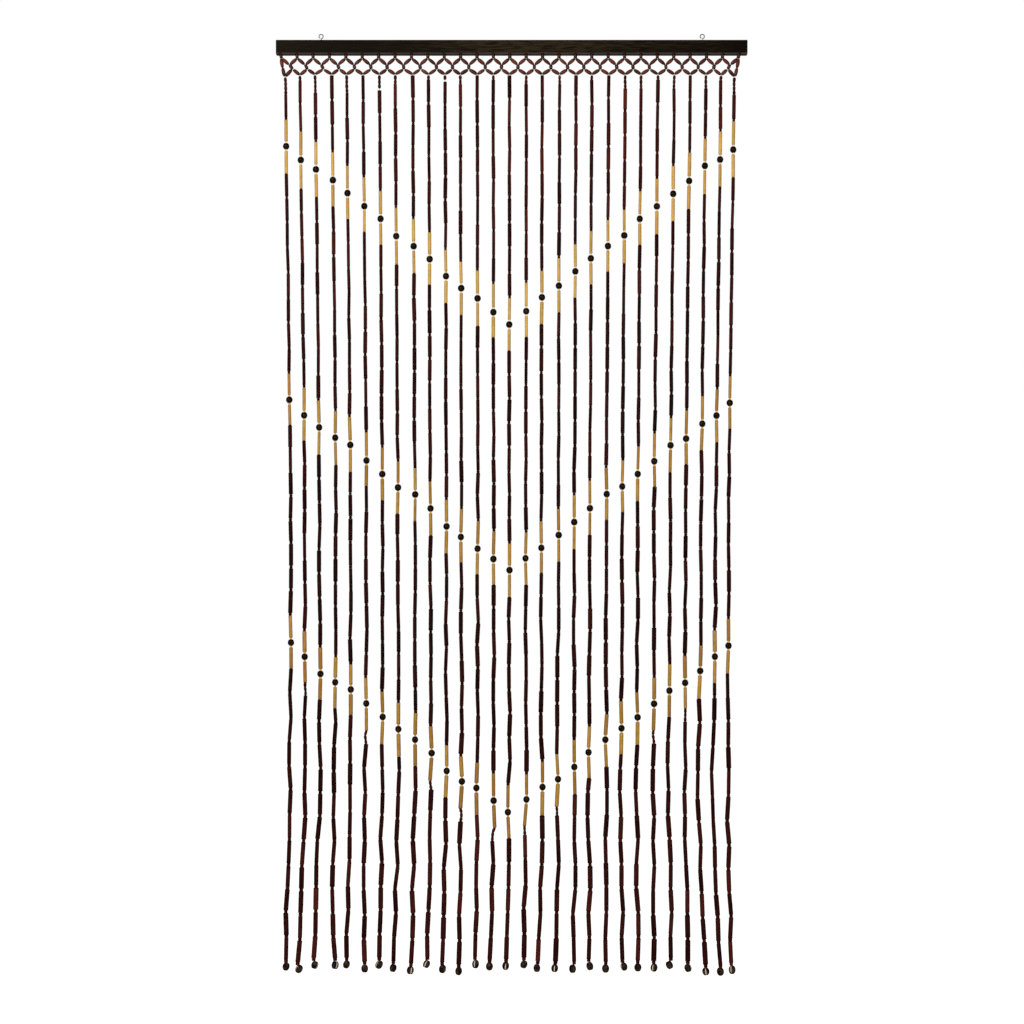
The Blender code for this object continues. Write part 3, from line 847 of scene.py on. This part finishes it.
def make_woods(colours):
    # Tubes and spacers: a dark red-brown stain that is thin in places and soaks the cut ends
    make_wood(
        "stained_bamboo", grain=(0.45, 26.0, 6.5, 3.5), tone=(0.70, 0.22, 0.10),
        stops=((0.10, colours.stain_dark), (0.50, colours.stain_main), (1.0, colours.stain_red)),
        ends=(1.8, 1.6, 0.6, colours.stain_dark), roughness=(0.44, 0.58), depth=0.06,
        constants={"Specular IOR Level": 0.03})
    # Unstained tubes: straw to tan, with fibres and slightly browned ends
    make_wood(
        "natural_bamboo", grain=(0.4, 34.0, 5.0, 4.0), tone=(0.70, 0.22, 0.22),
        stops=((0.1, colours.natural_light), (1.0, colours.natural_dark)),
        ends=(1.6, 1.4, 0.35, colours.natural_dark), roughness=(0.40, 0.55), depth=0.10,
        constants={"Specular IOR Level": 0.2, "Coat Weight": 0.02, "Coat Roughness": 0.4})
    # Pale spacers beside the round beads
    make_wood(
        "pale_wood", grain=(0.35, 10.0, 2.5, 2.0), tone=(0.8, 0.15, 0.2),
        stops=((0.2, colours.pale_wood), (0.8, colours.natural_light)),
        ends=None, roughness=(0.45, 0.6), depth=0.06,
        constants={"Specular IOR Level": 0.3, "Coat Weight": 0.03, "Coat Roughness": 0.3})
    # Beads of the heading net: a thinner, warmer stain that darkens towards the ends, partly as stain soaking
    # in and partly as painted shade round a lighter middle that stands in for a highlight
    make_wood(
        "net_wood", grain=(0.45, 14.0, 4.0, 2.5), tone=(0.6, 0.35, 0.2),
        stops=((0.15, colours.net_main), (1.0, colours.net_light)),
        ends=(5.0, 1.6, 0.95, colours.net_soak_and_shade), roughness=(0.34, 0.48), depth=0.10,
        constants={"Specular IOR Level": 0.15, "Coat Weight": 0.02, "Coat Roughness": 0.3})


def make_black_lacquer(colours):
    """Round beads: turned wood under black lacquer, rubbed through in flecks and round the bore."""
    tree = start_material("black_lacquer")
    fibre, patches = grain_of(tree, 0.7, 7.0, 3.2, 1.4)
    flecks = remap(tree, weigh(tree, (fibre, 0.6), (patches, 0.5)), 0.66, 1.05)
    rubbed = compute(tree, "MAXIMUM", flecks, times(tree, ends_of(tree, 1.6, 1.8), 0.35))
    colour = mix_colours(tree, rubbed, colours.black, colours.black_worn)
    roughness = remap(tree, rubbed, 0.0, 1.0, 0.26, 0.5)
    finish(tree, colour, roughness, 0.06, fibre,
           {"Specular IOR Level": 0.08, "Specular Tint": (1.0, 0.86, 0.62, 1.0)})


def make_seed_shell(colours):
    """Seeds: a dark shell with streaks and a pale slit on one side."""
    tree = start_material("seed_shell")
    fibre, patches = grain_of(tree, 0.9, 5.0, 5.0, 1.5)
    tone = weigh(tree, (fibre, 0.35), (patches, 0.65))
    shell = ramp(tree, tone, (0.30, colours.shell), (0.95, colours.shell_light))
    x, y, z = directions(tree, attribute(tree, "bead_grain", "Vector"))
    from_middle = compute(tree, "SUBTRACT", z, SEED_LENGTH / MM / 2)
    along = compute(tree, "DIVIDE", from_middle, SLIT_REACH * SEED_LENGTH / MM)
    across = compute(tree, "DIVIDE", x, SLIT_HALF_WIDTH)
    lens = remap(tree, squares(tree, along, across), 0.75, 1.15, 1.0, 0.0)
    slit = times(tree, lens, compute(tree, "LESS_THAN", y, 0.0))
    flesh = mix_colours(tree, times(tree, fibre, 0.35), colours.slit, colours.natural_dark)
    colour = mix_colours(tree, slit, shell, flesh)
    roughness = remap(tree, slit, 0.0, 1.0, 0.34, 0.6)
    height = times(tree, fibre, compute(tree, "SUBTRACT", 1.0, slit))
    finish(tree, colour, roughness, 0.10, height, {"Specular IOR Level": 0.05})


def make_cords(colours):
    """Twisted cord, cream in the net and the strands and stained where it enters the rail."""
    for name, light in (("cord", colours.cord), ("net_cord", colours.net_cord)):
        tree = start_material(name)
        place = attribute(tree, "bead_grain", "Vector")
        twist = add_node(tree, "TexWave", {"Vector": place, "Scale": 0.9, "Distortion": 0.6},
                         bands_direction="DIAGONAL").outputs["Fac"]
        colour = mix_colours(tree, twist, tuple(0.6 * value for value in light), light)
        roughness = remap(tree, twist, 0.0, 1.0, 0.85, 0.7)
        finish(tree, colour, roughness, 0.12, twist, {"Specular IOR Level": 0.15})


def make_stained_rail_with_reflection(colours):
    """Near-black stained batten with a grain along it, rubbed thin in places and along its arrises, and a
    painted reflection of the bright floor on its bevel and underside.
    """
    tree = start_material("rail_stain")
    place = add_node(tree, "TexCoord").outputs["Object"]
    x, y, z = directions(tree, place)
    along = drawn(tree, place, (1.0, 14.0, 14.0))
    grain = noise(tree, along, 38.0, 5.0, Roughness=0.65)
    pores = noise(tree, along, 120.0, 2.0)
    broad = noise(tree, place, 5.0, 1.0)
    fibre = remap(tree, grain, 0.36, 0.68)
    haze = remap(tree, distance(tree, x, HAZE_PLACE), 0.0, HAZE_REACH, 1.0, 0.0)
    thin = remap(tree, broad, 0.42, 0.62)
    rubbed_thin = weigh(tree, (thin, 0.35), (haze, 1.4), (0.12, 1.0))
    faded = remap(tree, z, RAIL_LOW.z, RAIL_HIGH.z, 0.75, 1.25)
    showing = times(tree, times(tree, fibre, faded), rubbed_thin)
    stain = mix_colours(tree, showing, colours.rail_dark, colours.rail_light)

    from_faces = compute(tree, "SUBTRACT", RAIL_DEPTH / 2, distance(tree, y, RAIL_MIDDLE_Y))
    from_top = compute(tree, "SUBTRACT", RAIL_TOP, compute(tree, "ABSOLUTE", z))
    from_arris = compute(tree, "MAXIMUM", from_faces, from_top)
    ragged = weigh(tree, (grain, ARRIS_RAGGEDNESS), (from_arris, 1.0))
    rubbed = remap(tree, ragged, *ARRIS_WEAR, 0.8, 0.0)
    front = mix_colours(tree, rubbed, stain, colours.rail_worn)

    # Painted reflection of the bright floor on the lowest few mm of the rail, the bevel and underside, kept
    # off the hole mouths
    reflection_band = remap(tree, z, UNDERSIDE + BEVEL_REFLECTION_REACH, UNDERSIDE + 0.9 * BEVEL_REFLECTION_REACH)
    aside = compute(tree, "PINGPONG", compute(tree, "SUBTRACT", x, HOLE_ROW_SHIFT), HOLE_PITCH / 2)
    across = compute(tree, "SUBTRACT", y, NET_Y)
    from_hole = compute(tree, "SQRT", squares(tree, aside, across))
    outside = remap(tree, from_hole, *(HOLE_RADIUS + reach for reach in HOLE_BORDER))
    painted_reflection = times(tree, times(tree, reflection_band, outside), weigh(tree, (fibre, 0.4), (0.6, 1.0)))
    colour = mix_colours(tree, painted_reflection, front, colours.rail_bevel_reflection)
    roughness = remap(tree, showing, 0.0, 1.0, 0.40, 0.58)
    height = weigh(tree, (fibre, 0.6), (pores, 0.4))
    finish(tree, colour, roughness, 0.15, height,
           {"Specular IOR Level": 0.05, "Specular Tint": (1.0, 0.82, 0.66, 1.0)})


def make_plated_wire(colours):
    """Dull plated wire with fine scratches along it."""
    tree = start_material("plated_wire")
    place = attribute(tree, "bead_grain", "Vector")
    scratches = noise(tree, drawn(tree, place, (4.0, 4.0, 0.25)), 2.2, 4.0)
    dull = remap(tree, noise(tree, place, 0.7, 3.0), 0.45, 0.68)
    colour = mix_colours(tree, dull, colours.metal, colours.metal_dull)
    roughness = remap(tree, scratches, 0.3, 0.7, 0.28, 0.46)
    finish(tree, colour, roughness, 0.03, scratches, {"Metallic": 1.0})


# Operators, one for each group of pieces

class CURTAIN_OT_mix_finishes(Operator):
    """Make the materials of the beads, the cord, the rail and the screw eyes"""
    bl_idname = "curtain.mix_finishes"
    bl_label = "Mix the finishes"

    def execute(self, context):
        colours = context.scene.curtain_colours
        make_grain_group()
        make_rub_group()
        make_woods(colours)
        make_black_lacquer(colours)
        make_seed_shell(colours)
        make_cords(colours)
        make_stained_rail_with_reflection(colours)
        make_plated_wire(colours)
        return {"FINISHED"}


class CURTAIN_OT_stain_rail(Operator):
    """Give the wooden rail its dark stain and the painted floor reflection on its bevel"""
    bl_idname = "curtain.stain_rail"
    bl_label = "Stain the rail"

    def execute(self, context):
        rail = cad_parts["rail"]
        rail.data.materials.clear()
        rail.data.materials.append(bpy.data.materials["rail_stain"])
        return {"FINISHED"}


class CURTAIN_OT_bend_screw_eyes(Operator):
    """Bend the two screw eyes from round wire"""
    bl_idname = "curtain.bend_screw_eyes"
    bl_label = "Bend the screw eyes"

    def execute(self, context):
        sizes = context.scene.curtain_sizes
        for node in ("screw_eye_left", "screw_eye_right"):
            low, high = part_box(node)
            middle_x = (low.x + high.x) / 2
            neck = EYE_RISE - sizes.eye_ring - sizes.eye_wire
            path = [(0, -EYE_SHANK), (0, 0), (0, neck), (EYE_NECK_BEND, neck + EYE_NECK_RISE)]
            for step in range(EYE_STEPS + 1):
                angle = EYE_START_ANGLE + EYE_SWEEP * step / EYE_STEPS
                path.append((sizes.eye_ring * math.cos(angle), EYE_RISE + sizes.eye_ring * math.sin(angle)))
            wire = BeadMesh("plated_wire")
            places = [(middle_x + x, RAIL_MIDDLE_Y, RAIL_TOP + z) for x, z in path]
            wire.add_cord(places, sizes.eye_wire, "plated_wire", sides=EYE_SIDES)
            eye = wire.make(node.replace("screw_eye", "plated_eye"))
            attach(eye, "root")
            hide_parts(node)
        return {"FINISHED"}


class CURTAIN_OT_knot_heading_net(Operator):
    """Thread and knot the net of barrel beads under the rail"""
    bl_idname = "curtain.knot_heading_net"
    bl_label = "Knot the heading net"

    def execute(self, context):
        sizes = context.scene.curtain_sizes
        luck = random.Random(LOOKS_SEED)
        net = BeadMesh("net_wood", "net_cord", "cord")
        ends, splits, tops, bottoms, apexes = net_knots()
        last = STRAND_COUNT - 1

        def add(form, start, end, width, tint, start_room=0.0, end_room=0.0):
            along = (end - start).normalized()
            width *= luck.uniform(1 - NET_PLAY, 1 + NET_PLAY)
            net.add_bead(
                form, start + along * start_room, end - along * end_room, width, "net_wood", tint,
                BEAD_SIDES, sizes.bore, luck.uniform(0, math.tau), luck.uniform(0, OVALITY))

        rise = Vector((0, 0, sizes.knot / 2))
        for n in range(STRAND_COUNT):
            mouth = ends[n].lerp(splits[n], STUB_DEPTH / (STUB_DEPTH + SPLIT_DROP))
            net.add_bead(
                TUBE, ends[n], mouth, COLLAR_WIDTH, "net_cord", luck.random(), COLLAR_SIDES, sizes.bore)
            add(TUBE, mouth, splits[n], sizes.stub, luck.uniform(*STUB_TINTS), end_room=STUB_ROOM)
            net.add_cord([ends[n], splits[n]], sizes.cord, "net_cord")
            for knot in (splits[n], apexes[n], *(bottom - rise for bottom in bottoms[n:n + 1])):
                net.add_bead(
                    KNOT, knot + rise, knot - rise, sizes.knot, "cord", luck.random(), KNOT_SIDES, sizes.cord)
        for n in range(last):
            for side in (n, n + 1):
                way = 1 if side == n else -1
                upper = (net_point(splits[side].x + way * BARREL_ASIDE, BARREL_TOP),
                         net_point(tops[n].x - way * CROSSING_ASIDE, BARREL_CROSSING))
                lower = (net_point(bottoms[n].x - way * CROSSING_ASIDE, BARREL_FORK),
                         net_point(apexes[side].x + way * FOOT_ASIDE, BARREL_FOOT + edge_sag(side)))
                add(BARREL, *upper, sizes.barrel, luck.random())
                add(BARREL, *lower, sizes.barrel, luck.random())
                net.add_cord([splits[side], *upper, tops[n]], sizes.cord, "cord")
                net.add_cord([bottoms[n], *lower, apexes[side]], sizes.cord, "cord")
            add(SMALL, tops[n], bottoms[n], sizes.crossing, luck.uniform(*CROSSING_TINTS))
        for n in (0, last):
            way = math.copysign(1, n - MIDDLE_STRAND)
            waist = net_point((splits[n].x + apexes[n].x) / 2 + way * LEG_BOW, LEG_DROP)
            out = Vector((way * BARREL_ASIDE, 0, 0))
            add(BARREL, splits[n] + out, waist, sizes.barrel, luck.random(), LEG_ROOM, LEG_ROOM)
            add(BARREL, waist, apexes[n] + out, sizes.barrel, luck.random(), LEG_ROOM, LEG_FOOT_ROOM)
            net.add_cord([splits[n], splits[n] + out, waist, apexes[n] + out, apexes[n]], sizes.cord, "cord")
        piece = net.make("heading_net")
        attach(piece, "root")
        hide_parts("bead_curtain")
        return {"FINISHED"}


class CURTAIN_OT_string_strands(Operator):
    """String the bamboo tubes, spacers, round beads and seeds of every strand"""
    bl_idname = "curtain.string_strands"
    bl_label = "String the strands"

    def string(self, number, sizes):
        luck = random.Random(LOOKS_SEED + 1 + number)
        beads = string_beads(number)
        corners = hang_corners(number, beads)
        strand = BeadMesh(
            "stained_bamboo", "natural_bamboo", "pale_wood", "black_lacquer", "seed_shell", "cord")
        natural_tubes = 0
        for kind, top, bottom in beads:
            start = point_at(corners, top + BEAD_GAP)
            end = point_at(corners, bottom - BEAD_GAP)
            chance = luck.random()
            spread = luck.uniform(-1, 1)
            turn = luck.uniform(0, math.tau)
            oval = luck.uniform(0, OVALITY)
            if kind == "slack":
                continue
            share = min(1.0, top / SEED_DROP)
            lightness = np.interp(share, *np.transpose(STAIN_TONES))
            stain = max(0.0, lightness + STAIN_PLAY * (2 * chance - 1) * (0.5 + lightness))
            stain += THIN_STAIN * lightness * chance ** THIN_RARITY
            light, darker, swell = BANDS[min(natural_tubes // 2, len(BANDS) - 1)]
            natural_tubes += kind == "natural"
            tube = sizes.tube_top + (sizes.tube_foot - sizes.tube_top) * share ** TUBE_GROWTH
            spacer = tube * sizes.spacer / sizes.tube_top
            widths = {
                "tube": tube, "short": tube, "natural": sizes.natural * swell, "spacer": spacer,
                "joint": spacer, "pale": sizes.pale, "small": sizes.small, "round": sizes.round_bead,
                "seed": sizes.seed,
            }
            natural = light + darker * chance
            small = SMALL_TINTS[0] + (SMALL_TINTS[1] - SMALL_TINTS[0]) * chance
            tints = {"natural": natural, "pale": natural, "small": small, "round": chance, "seed": chance}
            form, material, play, sides = BEADS[kind]
            if kind == "seed":
                slit, tilt, aside = SEEDS[number]
                turn = math.radians(slit)
                start, end = tilted(start, end, math.radians(tilt), aside * MM)
            strand.add_bead(
                form, start, end, widths[kind] * (1 + play * spread), material, tints.get(kind, stain),
                sides, sizes.bore, turn, oval if form is TUBE else 0.0,
                carve_slit if kind == "seed" else None)
        path = [net_point(strand_x(number), APEX_DROP + edge_sag(number))]
        path += [point_at(corners, drop) for drop, x, y in corners[:-1]]
        path.append(point_at(corners, beads[-1][1] + CORD_IN_SEED))
        strand.add_cord(path, sizes.cord, "cord")
        return strand.make(f"strand_{number + 1:02d}")

    def execute(self, context):
        sizes = context.scene.curtain_sizes
        for number in range(STRAND_COUNT):
            piece = self.string(number, sizes)
            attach(piece, "root")
            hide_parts("bead_curtain")
        return {"FINISHED"}


class CURTAIN_OT_set_stage(Operator):
    """Put up the camera, the soft lights and the pale floor"""
    bl_idname = "curtain.set_stage"
    bl_label = "Set the stage"

    def add_light(self, power, name, place, target, width, height):
        light = bpy.data.lights.new(name, "AREA")
        light.shape = "RECTANGLE"
        light.size = width
        light.size_y = height
        light.energy = power
        lamp = bpy.data.objects.new(name, light)
        lamp.location = place
        lamp.rotation_euler = (Vector(target) - Vector(place)).to_track_quat("-Z", "Y").to_euler()
        bpy.context.scene.collection.objects.link(lamp)

    def add_surround(self, brightness):
        """Plain white to the camera, and a dimmer room in what the beads reflect."""
        world = bpy.data.worlds.new("studio")
        world.use_nodes = True
        tree = world.node_tree
        tree.nodes.clear()
        seen = add_node(tree, "Background", {"Color": WHITE, "Strength": 1.0})
        lit = add_node(tree, "Background", {"Color": WHITE, "Strength": brightness})
        path = add_node(tree, "LightPath")
        shown = add_node(tree, "MixShader", {
            0: path.outputs["Is Camera Ray"], 1: lit.outputs[0], 2: seen.outputs[0]})
        add_node(tree, "OutputWorld", {"Surface": shown.outputs[0]})
        bpy.context.scene.world = world

    def add_floor(self, height):
        bpy.ops.mesh.primitive_plane_add(size=FLOOR_WIDTH, location=(0, 0, height))
        floor = bpy.context.object
        floor.name = "floor"
        tree = start_material("pale_floor")
        shader = tree.nodes["Principled BSDF"]
        shader.inputs["Base Color"].default_value = FLOOR_COLOUR
        shader.inputs["Roughness"].default_value = 0.9
        shader.inputs["Emission Color"].default_value = WHITE
        path = add_node(tree, "LightPath")
        tree.links.new(path.outputs["Is Camera Ray"], shader.inputs["Emission Strength"])
        floor.data.materials.append(bpy.data.materials["pale_floor"])

    def execute(self, context):
        scene = context.scene
        stage = scene.curtain_stage
        camera = bpy.data.cameras.new("camera")
        camera.sensor_width = SENSOR_WIDTH
        camera.lens = camera.sensor_width / 2 / math.tan(stage.view_angle / 2)
        viewer = bpy.data.objects.new("camera", camera)
        viewer.location = (CAMERA_ASIDE, RAIL_LOW.y - stage.distance, stage.height)
        viewer.rotation_euler = (math.radians(90), 0, 0)
        scene.collection.objects.link(viewer)
        scene.camera = viewer
        for light in LIGHTS:
            self.add_light(getattr(stage, light[0]), *light)
        self.add_surround(stage.surround)
        self.add_floor(stage.floor)
        scene.view_settings.view_transform = "Standard"
        return {"FINISHED"}


class CURTAIN_PT_panel(Panel):
    """Buttons and settings of the bead curtain"""
    bl_idname = "CURTAIN_PT_panel"
    bl_label = "Bead curtain"
    bl_space_type = "VIEW_3D"
    bl_region_type = "UI"
    bl_category = "Bead curtain"

    def draw(self, context):
        for step in STEPS:
            self.layout.operator(step.bl_idname)
        for group in GROUPS:
            settings = getattr(context.scene, group)
            box = self.layout.box()
            for name in settings.bl_rna.properties.keys():
                if name not in ("rna_type", "name"):
                    box.prop(settings, name)


GROUPS = {"curtain_sizes": BeadSizes, "curtain_colours": BeadColours, "curtain_stage": StageSettings}
STEPS = (
    CURTAIN_OT_set_stage, CURTAIN_OT_mix_finishes, CURTAIN_OT_stain_rail, CURTAIN_OT_bend_screw_eyes,
    CURTAIN_OT_knot_heading_net, CURTAIN_OT_string_strands)


def register():
    for cls in (*GROUPS.values(), *STEPS, CURTAIN_PT_panel):
        bpy.utils.register_class(cls)
    for name, group in GROUPS.items():
        setattr(bpy.types.Scene, name, PointerProperty(type=group))


def unregister():
    for name in GROUPS:
        delattr(bpy.types.Scene, name)
    for cls in (CURTAIN_PT_panel, *reversed(STEPS), *GROUPS.values()):
        bpy.utils.unregister_class(cls)


def main():
    register()
    bpy.ops.curtain.set_stage()
    bpy.ops.curtain.mix_finishes()
    bpy.ops.curtain.stain_rail()
    bpy.ops.curtain.bend_screw_eyes()
    bpy.ops.curtain.knot_heading_net()
    bpy.ops.curtain.string_strands()


if __name__ == "__main__":
    main()
